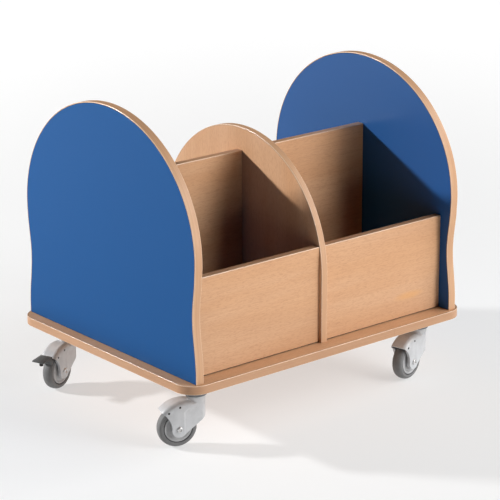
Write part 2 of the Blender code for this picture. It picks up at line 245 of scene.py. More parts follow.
def beech_edging(name, axis, seed, light, brown):
    """Edge band with fine lengthwise lines."""
    material, tree, shader = new_material(name, 0.42, specular=0.30)
    shift = (seed * 0.93, seed * 1.91, seed * 0.47)
    line = noise(tree, 1.0, along(axis, 4.0, 520.0), 2.0, 0.65, shift)
    patch = noise(tree, 1.0, along(axis, 5.0, 30.0), 2.0, 0.5, shift)
    tone = blend_colour(tree, scaled(tree, ramp(tree, line, 0.34, 0.70), 0.34), light, brown)
    tone = blend_colour(tree, scaled(tree, ramp(tree, patch, 0.45, 0.75), 0.30), tone, brown)
    tree.links.new(tone, shader.inputs["Base Color"])
    tree.links.new(scaled(tree, line, 0.12, 0.34), shader.inputs["Roughness"])
    bump(tree, shader, line, 0.00005, 0.3)
    return material


def painted_highlight_arris(name, tint):
    """The glossier corner of an edge band, paler than the band as a painted highlight."""
    material, tree, shader = new_material(name, 0.26, specular=0.75)
    wear = noise(tree, 160.0, detail=3.0)
    paler = colour(*(value * 1.06 for value in tint))
    tree.links.new(blend_colour(tree, wear, colour(*tint), paler), shader.inputs["Base Color"])
    tree.links.new(scaled(tree, wear, 0.12, 0.20), shader.inputs["Roughness"])
    bump(tree, shader, wear, 0.00003, 0.3)
    return material


def blue_laminate(name, gloss, deep, pale):
    """Pigmented melamine with a fine pearl texture."""
    material, tree, shader = new_material(name, 0.40, specular=gloss)
    pearl = noise(tree, 1500.0, detail=1.0)
    haze = noise(tree, 9.0, detail=3.0, roughness=0.6)
    tone = blend_colour(tree, scaled(tree, haze, 0.35), deep, pale)
    tone = blend_colour(tree, scaled(tree, pearl, 0.15), tone, colour(0.010, 0.060, 0.190))
    tree.links.new(tone, shader.inputs["Base Color"])
    tree.links.new(scaled(tree, haze, 0.08, 0.32), shader.inputs["Roughness"])
    bump(tree, shader, pearl, 0.00004, 0.6)
    return material


def cast_metal(name, base, roughness, metallic):
    """Metal or lacquered metal with a fine grain, cloudy sheen and lighter worn edges."""
    material, tree, shader = new_material(name, roughness, metallic)
    fine = noise(tree, 2200.0, detail=2.0)
    cloud = noise(tree, 60.0, detail=3.0, roughness=0.6)
    dark = colour(*(value * 0.90 for value in base))
    tone = blend_colour(tree, ramp(tree, cloud, 0.35, 0.70), colour(*base), dark)
    edge = ramp(tree, node(tree, "NewGeometry").outputs["Pointiness"], 0.505, 0.56)
    bright = colour(*(min(1.0, value * 1.35 + 0.04) for value in base))
    tone = blend_colour(tree, scaled(tree, edge, 0.12), tone, bright)
    tree.links.new(tone, shader.inputs["Base Color"])
    tree.links.new(scaled(tree, cloud, 0.14, roughness - 0.07), shader.inputs["Roughness"])
    bump(tree, shader, fine, 0.00003, 0.5)
    return material


def moulded(name, base, roughness):
    """Rubber or moulded plastic with a matt skin and faint dust."""
    material, tree, shader = new_material(name, roughness, specular=0.35)
    skin = noise(tree, 1300.0, detail=2.0, roughness=0.6)
    dust = noise(tree, 90.0, detail=4.0, roughness=0.65)
    pale = colour(*(min(1.0, value * 1.25 + 0.02) for value in base))
    tone = blend_colour(tree, scaled(tree, ramp(tree, dust, 0.40, 0.75), 0.36), colour(*base), pale)
    tree.links.new(tone, shader.inputs["Base Color"])
    tree.links.new(scaled(tree, dust, 0.16, roughness - 0.06), shader.inputs["Roughness"])
    bump(tree, shader, skin, 0.00006, 0.6)
    return material


# ---------------------------------------------------------------- shapes

def arc(centre, radius, start, end, steps):
    """Points on a circular arc, angles in degrees."""
    angles = (math.radians(start + (end - start) * i / steps) for i in range(steps + 1))
    return [(centre[0] + radius * math.cos(a), centre[1] + radius * math.sin(a)) for a in angles]


def on_plane(axis, point, level):
    """A plane outline's point in space; axis is the direction across the plane."""
    u, v = point
    return {"X": (level, u, v), "Y": (u, level, v), "Z": (u, v, level)}[axis]


def inset_outline(points, distance, closed):
    """Move a counter-clockwise outline inwards by a distance."""
    count = len(points)
    moved = []
    for i, (u, v) in enumerate(points):
        before = points[i - 1] if closed or i > 0 else points[i]
        after = points[(i + 1) % count] if closed or i < count - 1 else points[i]
        normals = []
        for a, b in ((before, (u, v)), ((u, v), after)):
            side = Vector((a[1] - b[1], b[0] - a[0]))
            if side.length > 0:
                normals.append(side.normalized())
        mean = sum(normals, Vector((0, 0))).normalized()
        reach = distance / mean.dot(normals[0])
        moved.append((u + mean.x * reach, v + mean.y * reach))
    return moved


def finish_mesh(name, bm, material, crease_degrees=35):
    """Turn a bmesh into a mesh facing outwards, shaded smooth up to a crease angle."""
    bmesh.ops.recalc_face_normals(bm, faces=bm.faces)
    mesh = bpy.data.meshes.new(name)
    bm.to_mesh(mesh)
    bm.free()
    for look in material if isinstance(material, tuple) else (material,):
        mesh.materials.append(look)
    mesh.shade_smooth()
    mesh.set_sharp_from_angle(angle=math.radians(crease_degrees))
    return mesh


def place(name, data, matrix=None):
    """Put a mesh, lamp or camera into the scene."""
    item = bpy.data.objects.new(name, data)
    bpy.context.scene.collection.objects.link(item)
    if matrix is not None:
        item.matrix_world = matrix
    return item


def even_normals(item):
    """Shade large flat faces flat beside their rounded edges."""
    weighting = item.modifiers.new("even_normals", "WEIGHTED_NORMAL")
    weighting.keep_sharp = True


def prism(axis, outline, low, high):
    """A closed outline extruded from low to high along an axis."""
    bm = bmesh.new()
    base = bm.faces.new([bm.verts.new(on_plane(axis, p, low)) for p in outline])
    grown = bmesh.ops.extrude_face_region(bm, geom=[base])
    top = [v for v in grown["geom"] if isinstance(v, bmesh.types.BMVert)]
    bmesh.ops.translate(bm, verts=top, vec=Vector(on_plane(axis, (0, 0), high - low)))
    return bm


def turned(profile, steps):
    """A closed profile of (radius, height) points spun a full turn about Z."""
    bm = bmesh.new()
    verts = [bm.verts.new((r, 0, h)) for r, h in profile]
    edges = [bm.edges.new((verts[i], verts[(i + 1) % len(verts)])) for i in range(len(verts))]
    bmesh.ops.spin(bm, geom=verts + edges, axis=(0, 0, 1), cent=(0, 0, 0), angle=math.tau, steps=steps)
    bmesh.ops.remove_doubles(bm, verts=bm.verts, dist=1e-6)
    bmesh.ops.dissolve_degenerate(bm, dist=1e-7, edges=bm.edges)
    return bm


def rounded(profile, radius):
    """Round the convex and concave corners of a closed profile, where its sides are long enough."""
    count, steps = len(profile), 3
    points = []
    for i, corner in enumerate(profile):
        here, before, after = (Vector(profile[j]) for j in (i, i - 1, (i + 1) % count))
        back, ahead = before - here, after - here
        reach = min(radius, back.length * 0.45, ahead.length * 0.45)
        if abs(here.x) < 1e-9 or reach < 1e-5:
            points.append(tuple(here))
            continue
        start, end = here + back.normalized() * reach, here + ahead.normalized() * reach
        for k in range(steps + 1):
            t = k / steps
            point = start * (1 - t) ** 2 + here * 2 * t * (1 - t) + end * t ** 2
            points.append(tuple(point))
    return points


def sideways(bm):
    """Turn a mesh so that its Z axis lies along +Y."""
    for v in bm.verts:
        v.co = Vector((v.co.x, v.co.z, -v.co.y))
    return bm


# ---------------------------------------------------------------- boards

def board_body(name, axis, outline, low, high, material, easing, joint_faces):
    """A board's core with finely eased edges; the faces that joint_faces picks take the second material."""
    bm = prism(axis, outline, low, high)
    bmesh.ops.recalc_face_normals(bm, faces=bm.faces)
    sharp = [e for e in bm.edges if e.calc_face_angle(0.0) > math.radians(40)]
    bmesh.ops.bevel(bm, geom=sharp, offset=easing, segments=2, profile=0.5, affect="EDGES")
    for face in joint_faces(bm):
        face.material_index = 1
    item = place(name, finish_mesh(name, bm, material, 50))
    even_normals(item)
    return item


def band_section(low, high, radius):
    """Cross section of an edge band as (inset, level) points, with its two outer edges rounded."""
    lower = arc((radius, low + radius), radius, 270, 180, 4)
    upper = arc((radius, high - radius), radius, 180, 90, 4)
    return [(EDGE_BAND, low)] + lower + upper + [(EDGE_BAND, high)]


def edge_band(name, axis, outline, low, high, material, arris, radius=ARRIS):
    """A band swept along an open outline and closed at both ends; arris is its rounded corners' material."""
    bm = bmesh.new()
    rings = []
    for inset, level in band_section(low, high, radius):
        path = inset_outline(outline, inset, False)
        rings.append([bm.verts.new(on_plane(axis, p, level)) for p in path])
    for index, (first, second) in enumerate(zip(rings, rings[1:] + rings[:1])):
        for i in range(len(outline) - 1):
            face = bm.faces.new((first[i], first[i + 1], second[i + 1], second[i]))
            face.material_index = 1 if index in ARRIS_STRIPS else 0
    for end in (0, -1):
        bm.faces.new([ring[end] for ring in rings])
    item = place(name, finish_mesh(name, bm, (material, arris), 50))
    even_normals(item)
    return item


def ease(low, high, count):
    """Points that swing from one (half width, height) to another like half a cosine wave."""
    steps = []
    for i in range(count):
        share = i / count
        bend = (1 - math.cos(math.pi * share)) / 2
        steps.append((low[0] + (high[0] - low[0]) * bend, low[1] + (high[1] - low[1]) * share))
    return steps


def mirrored(side, height):
    """A right-hand flank followed by its mirror image, raised by a height."""
    return [(y, z + height) for y, z in side + [(-y, z) for y, z in reversed(side)]]


def panel_outline(low, high):
    """End panel: a half ellipse that draws in to a waist and widens again at the foot."""
    rise = high.z - low.z - PANEL_TOP_CENTRE
    side = [(PANEL_FOOT[0], 0.0)]
    side += ease(PANEL_FOOT, PANEL_WAIST, EASE_STEPS)
    side += ease(PANEL_WAIST, PANEL_SHOULDER, EASE_STEPS)
    start = math.asin((PANEL_SHOULDER[1] - PANEL_TOP_CENTRE) / rise)
    for i in range(ROUND_STEPS):
        angle = start + (math.pi / 2 - start) * (i + 0.5) / ROUND_STEPS
        side.append((PANEL_TOP_HALF_WIDTH * math.cos(angle), PANEL_TOP_CENTRE + rise * math.sin(angle)))
    return mirrored(side, low.z)


def divider_outline(low, high):
    """Cross divider: straight sides that run into a half circle."""
    radius = high.y
    centre = high.z - low.z - radius
    side = [(radius, 0.0)]
    for i in range(ROUND_STEPS):
        angle = math.pi / 2 * i / (ROUND_STEPS - 0.5)
        side.append((radius * math.cos(angle), centre + radius * math.sin(angle)))
    return mirrored(side, low.z)


def base_outline(low, high):
    """Rounded rectangle, run counter-clockwise from the band's seam on the front edge."""
    x, y = high.x - BASE_CORNER_RADIUS, high.y - BASE_CORNER_RADIUS
    points = [(SEAM_X + SEAM_WIDTH / 2, low.y)]
    for centre, start in (((x, -y), 270), ((x, y), 0), ((-x, y), 90), ((-x, -y), 180)):
        points += arc(centre, BASE_CORNER_RADIUS, start, start + 90, 14)
    return points + [(SEAM_X - SEAM_WIDTH / 2, low.y)]


def rim_faces(axis):
    """Pick a board's faces that aren't its two broad ones."""
    index = "XYZ".index(axis)
    return lambda bm: [face for face in bm.faces if abs(face.normal[index]) < 0.95]


def foot_faces(level):
    """Pick a strip round a board's foot, below a level."""
    def pick(bm):
        everything = bm.verts[:] + bm.edges[:] + bm.faces[:]
        bmesh.ops.bisect_plane(bm, geom=everything, plane_co=(0, 0, level), plane_no=(0, 0, 1))
        return [face for face in bm.faces if face.calc_center_median().z < level]
    return pick


def banded(name, axis, outline, low, high, looks, easing=FINE, radius=ARRIS):
    """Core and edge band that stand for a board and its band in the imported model."""
    face, joint, band, arris = looks
    core = inset_outline(outline, EDGE_BAND + GLUE_LINE, False)
    body = board_body(name + "_core", axis, core, low, high, (face, joint), easing, rim_faces(axis))
    edge = edge_band(name + "_band", axis, outline, low, high, band, arris, radius)
    stand_for(body, name, "root")
    stand_for(edge, name + "_edge_band", "root")


def stand_for(item, node_name, body):
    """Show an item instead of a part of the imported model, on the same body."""
    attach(item, body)
    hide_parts(node_name)
    return item


def upright(name, looks):
    """A straight board whose only visible band is on its top edge, just clear of the base."""
    face, joint, band, arris = looks
    low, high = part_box(name)
    band_low, band_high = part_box(name + "_edge_band")
    outline = [(low.x, low.y), (high.x, low.y), (high.x, high.y), (low.x, high.y)]
    foot = low.z + BOTTOM_JOINT
    # The strip at the foot takes the near-black joint material: a painted shadow line between the board and
    # the base.
    core = board_body(name + "_core", "Z", outline, foot, band_low.z - GLUE_LINE, (face, joint), FINE,
                      foot_faces(foot + FOOT_SHADOW_HEIGHT))
    top = [(high.x, band_high.z), (low.x, band_high.z)]
    edge = edge_band(name + "_band", "Y", top, low.y, high.y, band, arris)
    stand_for(core, name, "root")
    stand_for(edge, name + "_edge_band", "root")


def build_boards():
    light, warm, brown = colour(0.640, 0.382, 0.226), colour(0.612, 0.342, 0.184), colour(0.400, 0.190, 0.090)
    # Partitions and divider take a slightly more saturated copy of the beech: painted colour of the warm
    # bounce light inside the bins.
    inner_light, inner_warm = colour(0.640, 0.378, 0.215), colour(0.600, 0.330, 0.172)
    edge_light, edge_brown = colour(0.600, 0.352, 0.203), colour(0.400, 0.200, 0.100)
    # The arris tints are paler than the bands' own colours: a painted highlight along their rounded corners.
    highlight_arris_look = painted_highlight_arris("painted_highlight_arris", (0.70, 0.48, 0.32))
    # Near-black: the real dark joint round the end panels' cores, and a painted shadow strip at the foot of
    # the uprights.
    joint = moulded("dark_joint_and_foot_shadow", (0.030, 0.020, 0.014), 0.70)
    seam = moulded("brown_joint", (0.20, 0.10, 0.055), 0.60)

    low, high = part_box("base_plate_edge_band")
    banded("base_plate", "Z", base_outline(low, high), low.z, high.z,
           (beech_board("base_decor", "X", 3.1, light, warm, brown), seam,
            beech_edging("base_edging", "XY", 1.2, colour(0.500, 0.288, 0.168), edge_brown),
            painted_highlight_arris("base_arris_highlight", (0.80, 0.60, 0.44))), radius=BASE_ARRIS)

    # The right panel's blue is the same laminate made about ten percent brighter and a little redder: painted
    # light on its inner face.
    blues = (("left", 2.4, 0.08, colour(0.0094, 0.077, 0.240), colour(0.0102, 0.083, 0.252)),
             ("right", 5.3, 0.20, colour(0.0150, 0.083, 0.262), colour(0.0160, 0.089, 0.276)))
    for side, seed, gloss, deep, pale in blues:
        name = side + "_end_panel"
        low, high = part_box(name + "_edge_band")
        banded(name, "X", panel_outline(low, high), low.x, high.x,
               (blue_laminate(side + "_blue_laminate", gloss, deep, pale), joint,
                beech_edging(name + "_edging", "YZ", seed, edge_light, edge_brown), highlight_arris_look), PANEL_EASING)

    low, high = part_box("cross_divider_edge_band")
    banded("cross_divider", "X", divider_outline(low, high), low.x, high.x,
           (beech_board("divider_decor", "Z", 7.7, inner_light, inner_warm, brown), seam,
            beech_edging("divider_edging", "YZ", 6.1, edge_light, edge_brown), highlight_arris_look))

    warm_patch = ((0.254, -0.2635, 0.206), (0.055, 0.05, 0.012), colour(0.700, 0.360, 0.130))
    seed = 10.0
    for side in ("left", "right"):
        for kind in ("partition", "front_board", "back_board"):
            seed += 3.3
            name = f"{side}_{kind}"
            inner = kind == "partition"
            patch = warm_patch if name == "right_front_board" else None
            decor = beech_board(name + "_decor", "X", seed, inner_light if inner else light,
                                inner_warm if inner else warm, brown, patch)
            edging = beech_edging(name + "_edging", "X", seed, colour(0.450, 0.245, 0.135), edge_brown)
            upright(name, (decor, joint, edging, highlight_arris_look))


# ---------------------------------------------------------------- casters

def guide(name, bm):
    """A mesh that only shapes another one."""
    mesh = bpy.data.meshes.new(name)
    bmesh.ops.recalc_face_normals(bm, faces=bm.faces)
    bm.to_mesh(mesh)
    bm.free()
    return place(name, mesh)


def evaluated(item):
    """The mesh an object's modifiers make; the object is then removed."""
    shape = item.evaluated_get(bpy.context.evaluated_depsgraph_get())
    mesh = bpy.data.meshes.new_from_object(shape)
    bpy.data.objects.remove(item)
    return mesh


def carve(name, bm, steps):
    """Apply a list of (operation, bmesh) to a solid and return the mesh that is left."""
    whole = guide(name, bm)
    guides = []
    for index, (operation, tool) in enumerate(steps):
        guides.append(guide(f"{name}_step_{index}", tool))
        boolean = whole.modifiers.new(operation, "BOOLEAN")
        boolean.operation = operation
        boolean.object = guides[-1]
        boolean.solver = "EXACT"
    mesh = evaluated(whole)
    for item in guides:
        bpy.data.objects.remove(item)
    return mesh


def softened(mesh, voxel, smoothing, keep):
    """Remesh a solid evenly and relax it, so that every edge is rounded as on a pressing, then thin it."""
    item = place("softened", mesh)
    remesh = item.modifiers.new("remesh", "REMESH")
    remesh.mode = "VOXEL"
    remesh.voxel_size = voxel
    relax = item.modifiers.new("relax", "SMOOTH")
    relax.factor = 0.5
    relax.iterations = smoothing
    thin = item.modifiers.new("thin", "DECIMATE")
    thin.ratio = keep
    return evaluated(item)


def as_bmesh(mesh):
    bm = bmesh.new()
    bm.from_mesh(mesh)
    return bm


def across(centre, radius, half_length, sides):
    """A cylinder across the fork, for its holes."""
    return prism("Y", arc(centre, radius, 0, 360 - 360 / sides, sides - 1), -half_length, half_length)


def fork_plan(radius, half_width, crease):
    """The fork from above: a round nose, then flat cheeks that step out at the crease."""
    waist = half_width - JOGGLE_DEPTH
    start = crease - JOGGLE_LENGTH
    reach = math.hypot(start - NOSE_CENTRE, waist)
    touch = math.degrees(math.atan2(waist, start - NOSE_CENTRE) + math.acos(radius / reach))
    nose = arc((NOSE_CENTRE, 0), radius, touch, 360 - touch, 24)
    far = 0.12
    side = [(start, waist), (crease, half_width), (far, half_width)]
    return nose + [(u, -v) for u, v in side] + side[::-1]


def plan_solid(radius, half_width):
    """The fork's plan as a tall solid whose crease leans forward towards the collar."""
    bm = bmesh.new()
    rings = []
    levels = ((0.0, CREASE_LOW), (0.0800, CREASE_LOW), (0.0940, CREASE_HIGH), (0.2, CREASE_HIGH))
    for height, crease in levels:
        ring = fork_plan(radius, half_width, crease)
        rings.append([bm.verts.new((u, v, height)) for u, v in ring])
    for first, second in zip(rings, rings[1:]):
        for i in range(len(first)):
            j = (i + 1) % len(first)
            bm.faces.new((first[i], first[j], second[j], second[i]))
    bm.faces.new(rings[0])
    bm.faces.new(rings[-1])
    return bm


def round_roof(bm, lowest, radius, segments):
    """Round the two long edges between the roof and the cheeks, which are the side edges above a height."""
    edges = [e for e in bm.edges
             if abs(e.verts[0].co.y - e.verts[1].co.y) < 1e-6 and min(v.co.z for v in e.verts) > lowest]
    bmesh.ops.bevel(bm, geom=edges, offset=radius, segments=segments, profile=0.5, affect="EDGES")
    return bm


def fork_side():
    """The fork's cheek: the roof's arc, the nose, the lug round the bolt and the rear cut-out."""
    roof = arc(ROOF_CENTRE, ROOF_RADIUS, 40.6, 108.3, 30)
    nose = [(-0.0215, 0.0990), (-0.0215, 0.0672), (-0.0125, 0.0590)]
    lug = arc(LUG_CENTRE, LUG_RADIUS, 236, 374, 24)
    cut_out = [(0.0598, 0.0560), (0.0630, 0.0640), (0.0680, 0.0718)]
    return roof + nose + lug + cut_out


def fork_cavity(flanged):
    """The side outline of the space inside the fork; the flanged one leaves a lip along the rear cut-out."""
    roof = arc(ROOF_CENTRE, ROOF_RADIUS - FORK_WALL, 20, 101.5, 30)
    front = [(0.012, 0.097), (-0.030, 0.097), (-0.030, 0.005)]
    if not flanged:
        return roof + front + [(0.130, 0.005), (0.130, 0.045)]
    lug = arc(LUG_CENTRE, LUG_RADIUS - FORK_WALL, 318, 374, 10)
    lip = [(0.0573, 0.0568), (0.0609, 0.0655), (0.0668, 0.0740)]
    return roof + front + [(0.060, 0.005), (0.060, 0.022)] + lug + lip


def fork_mesh(material):
    """Hooded fork: cheeks, roof and nose in one pressing, with a turned collar on top."""
    wide = FORK_HALF_WIDTH
    inner = wide - FORK_WALL
    hull = round_roof(prism("Y", fork_side(), -wide, wide), ROOF_LOWEST, ROOF_ROUNDING, 8)
    collar = turned([(0.0, 0.0895), (0.0155, 0.0895), (COLLAR_RADIUS - 0.0008, 0.0985),
                     (COLLAR_RADIUS - 0.0008, 0.1003), (COLLAR_RADIUS, 0.1012), (COLLAR_RADIUS, COLLAR_TOP),
                     (0.0, COLLAR_TOP)], 64)
    inner_plan = plan_solid(NOSE_RADIUS - FORK_WALL, inner + 0.001)
    spaces = []
    for flanged, half_width in ((True, inner), (False, LIP_HALF_WIDTH)):
        rounding = min(ROOF_ROUNDING - FORK_WALL, half_width)
        space = prism("Y", fork_cavity(flanged), -half_width, half_width)
        space = round_roof(space, ROOF_LOWEST, rounding, 6)
        spaces.append(as_bmesh(carve("fork_space", space, [("INTERSECT", inner_plan.copy())])))
    bore_radius = KINGPIN_RADIUS + 2 * RUNNING_GAP
    bore = turned([(0.0, 0.08), (bore_radius, 0.08), (bore_radius, 0.12), (0.0, 0.12)], 32)
    steps = [("INTERSECT", plan_solid(NOSE_RADIUS, wide + 0.001)), ("UNION", collar),
             ("DIFFERENCE", spaces[0]), ("DIFFERENCE", spaces[1]), ("DIFFERENCE", bore)]
    soft = softened(carve("fork_blank", hull, steps), voxel=0.0006, smoothing=5, keep=0.16)
    holes = [("DIFFERENCE", across((TRAIL, WHEEL_RADIUS), BOLT_RADIUS + RUNNING_GAP, 0.05, 32)),
             ("DIFFERENCE", across(PIVOT_HOLE, SMALL_HOLE_RADIUS, 0.05, 24)),
             ("DIFFERENCE", across(REAR_HOLE, SMALL_HOLE_RADIUS, 0.05, 24))]
    return finish_mesh("fork", as_bmesh(carve("fork", as_bmesh(soft), holes)), material, 48)


def bevelled(name, bm, material, width, crease=50):
    """A mesh whose sharp edges are rounded."""
    sharp = [e for e in bm.edges if e.calc_face_angle(0.0) > math.radians(30)]
    bmesh.ops.bevel(bm, geom=sharp, offset=width, segments=2, profile=0.5, affect="EDGES",
                    clamp_overlap=True)
    return finish_mesh(name, bm, material, crease)


def across_profile(side):
    """Both sides of a wheel part's profile, from its half as (radius, distance from the middle)."""
    return side + [(r, -h) for r, h in reversed(side)]


def hub_mesh(material):
    """Dished disc with a raised boss and a rim."""
    bore = BOLT_RADIUS + 0.00035
    side = [(bore, 0.0178), (0.0088, 0.0178), (0.0108, 0.0108), (0.0140, 0.0094), (0.0240, 0.0090),
            (0.0262, 0.0108), (0.0292, 0.0118), (HUB_RADIUS, 0.0110)]
    return finish_mesh("hub", sideways(turned(rounded(across_profile(side), 0.0011), 72)), material, 50)


def seal_mesh(material):
    """Black ring in the groove between the hub and the tyre."""
    side = [(HUB_RADIUS + 0.0001, 0.0098), (0.0317, 0.0098)]
    return finish_mesh("seal", sideways(turned(across_profile(side), 72)), material, 50)


def tyre_mesh(material):
    """Rubber tyre: flat side wall, then a crowned tread that begins at a moulded line."""
    side = [(0.0318, 0.0088), (0.0318, 0.0112), (0.0324, 0.0119), (0.0345, 0.0122), (0.0372, 0.0121),
            (0.0381, 0.0117), (0.0383, 0.0112), (0.0398, 0.0103), (0.0411, 0.0083), (0.0420, 0.0057),
            (0.0425, 0.0029), (WHEEL_RADIUS, 0.0)]
    profile = side + [(r, -h) for r, h in reversed(side[:-1])]
    return finish_mesh("tyre", sideways(turned(profile, 96)), material, 28)


def bolt_mesh(material):
    """Rivet-like wheel bolt with a cupped, domed head."""
    seat = FORK_HALF_WIDTH + RUNNING_GAP
    profile = [(0.0, -0.0285), (BOLT_RADIUS - 0.0006, -0.0285), (BOLT_RADIUS, -0.0279), (BOLT_RADIUS, seat),
               (0.0064, seat), (0.0064, seat + 0.0009), (0.0056, seat + 0.0023), (0.0045, seat + 0.0030),
               (0.0036, seat + 0.0029), (0.0026, seat + 0.0014), (0.0, seat + 0.0010)]
    return finish_mesh("axle_bolt", sideways(turned(profile, 40)), material, 40)


def nut_mesh(material):
    """Hexagon nut on the bolt's far end."""
    seat = FORK_HALF_WIDTH + RUNNING_GAP
    sides = 6
    bm = bmesh.new()
    rings = []
    for level in (-seat - 0.006, -seat):
        for radius in (0.0075, BOLT_RADIUS + RUNNING_GAP):
            ring = arc((0, 0), radius, 0, 360 - 360 / sides, sides - 1)
            rings.append([bm.verts.new((u, level, v)) for u, v in ring])
    for first, second in ((0, 1), (1, 3), (3, 2), (2, 0)):
        for i in range(sides):
            j = (i + 1) % sides
            bm.faces.new((rings[first][i], rings[first][j], rings[second][j], rings[second][i]))
    return bevelled("axle_nut", bm, material, 0.0005)


def race_mesh(material):
    """Pressed cup that holds the swivel balls, with a rolled lower lip."""
    bottom, top = COLLAR_TOP + 0.0008, 0.1354
    bore = KINGPIN_RADIUS + RUNNING_GAP
    profile = [(bore, bottom + 0.0010), (0.0150, bottom + 0.0010), (0.0170, bottom), (0.0232, bottom),
               (0.0240, bottom + 0.0012), (0.0240, bottom + 0.0080), (0.0228, bottom + 0.0104),
               (0.0210, bottom + 0.0130), (0.0210, top), (bore, top)]
    return finish_mesh("swivel_race", turned(rounded(profile, 0.0008), 56), material, 45)


def kingpin_mesh(material):
    """Rivet through the swivel, with its head inside the fork."""
    profile = [(0.0, 0.0930), (0.0078, 0.0930), (0.0090, 0.0942), (0.0090, 0.0967), (KINGPIN_RADIUS, 0.0967),
               (KINGPIN_RADIUS, 0.1345), (0.0, 0.1345)]
    return finish_mesh("kingpin", turned(profile, 32), material, 40)


def plate_mesh(material):
    """Square mounting plate with rounded corners."""
    half, radius = 0.033, 0.006
    points = []
    for sx, sy, start in ((1, 1, 0), (-1, 1, 90), (-1, -1, 180), (1, -1, 270)):
        points += arc((sx * (half - radius), sy * (half - radius)), radius, start, start + 90, 6)
    return bevelled("top_plate", prism("Z", points, PLATE_LOW, PLATE_HIGH), material, 0.0006)


def screw_mesh(material):
    """Pan head of a plate screw, head down, with a cross recess."""
    profile = [(0.0, 0.1334), (0.0020, 0.1334), (0.0036, 0.1341), (0.0044, 0.1352), (0.0044, 0.1356),
               (0.0, 0.1356)]
    head = turned(profile, 24)
    slots = [("DIFFERENCE", prism("Z", [(-a, -b), (a, -b), (a, b), (-a, b)], 0.1330, 0.1343))
             for a, b in ((0.0022, 0.0005), (0.0005, 0.0022))]
    return finish_mesh("screw", as_bmesh(carve("screw", head, slots)), material, 40)


def pedal_mesh(material):
    """Brake lever: an eye on the pivot pin, a shoe over the tyre and a ribbed tread plate behind the hood."""
    eye = arc(PIVOT_HOLE, 0.0034, 90, 270, 12)
    underside = [(0.0500, 0.0869), (0.0600, 0.0840), (0.0690, 0.0793), (0.0757, 0.0741), (0.0798, 0.0693),
                 (0.0828, 0.0680), (0.0854, 0.0694), (0.0872, 0.0740), (0.0890, 0.0800), (0.1140, 0.0806)]
    ribs = []
    for i in range(6):
        start = 0.1122 - i * RIB_PITCH
        rise = 0.0848 + i * 0.0004
        ribs += [(start, rise - 0.0007), (start - 0.0006, rise), (start - 0.0028, rise),
                 (start - 0.0034, rise - 0.0007)]
    top = [(0.1152, 0.0818), (0.1150, 0.0838)] + ribs
    top += [(0.0822, 0.0872), (0.0806, 0.0866), (0.0800, 0.0800), (0.0775, 0.0778), (0.0700, 0.0822),
            (0.0620, 0.0882), (0.0520, 0.0928)]
    lever = prism("Y", eye + underside + top, -PEDAL_HALF_WIDTH, PEDAL_HALF_WIDTH)
    hole = across(PIVOT_HOLE, PIN_RADIUS + RUNNING_GAP, 0.03, 16)
    waist = prism("Z", [(0.030, -0.02), (0.0770, -0.02), (0.0770, -0.0130), (0.030, -0.0130)], 0.06, 0.10)
    blank = carve("brake_pedal", lever, [("DIFFERENCE", hole), ("DIFFERENCE", waist)])
    return bevelled("brake_pedal", as_bmesh(blank), material, 0.00035, 40)


def buffer_mesh(material):
    """Rubber stub under the tread plate."""
    profile = [(0.0, 0.0700), (0.0034, 0.0700), (0.0045, 0.0711), (0.0045, 0.0800), (0.0, 0.0800)]
    bm = turned(profile, 28)
    bmesh.ops.translate(bm, verts=bm.verts, vec=(0.1010, 0, 0))
    return finish_mesh("brake_buffer", bm, material, 40)


def pin_mesh(material):
    """Pivot pin of the brake lever, with a wider end in each cheek."""
    side = [(PIN_RADIUS, 0.0190), (SMALL_HOLE_RADIUS - 0.0002, 0.0190), (SMALL_HOLE_RADIUS - 0.0002, 0.0205),
            (0.0, 0.0205)]
    profile = [(r, -h) for r, h in reversed(side)] + side
    return finish_mesh("brake_pin", sideways(turned(profile, 20)), material, 40)


def hole_shade_mesh(material):
    """Two black discs in a facing pair of the fork's small holes, just below the faces of the cheeks: painted
    shade that makes the open holes read dark.
    """
    inner, outer, radius = FORK_HALF_WIDTH - 0.0021, FORK_HALF_WIDTH - 0.0005, SMALL_HOLE_RADIUS - 0.0002
    bm = turned([(0.0, inner), (radius, inner), (radius, outer), (0.0, outer)], 20)
    twin = bmesh.ops.duplicate(bm, geom=bm.verts[:] + bm.edges[:] + bm.faces[:])
    for element in twin["geom"]:
        if isinstance(element, bmesh.types.BMVert):
            element.co.z = -element.co.z
    return finish_mesh("hole_shade_discs", sideways(bm), material, 40)


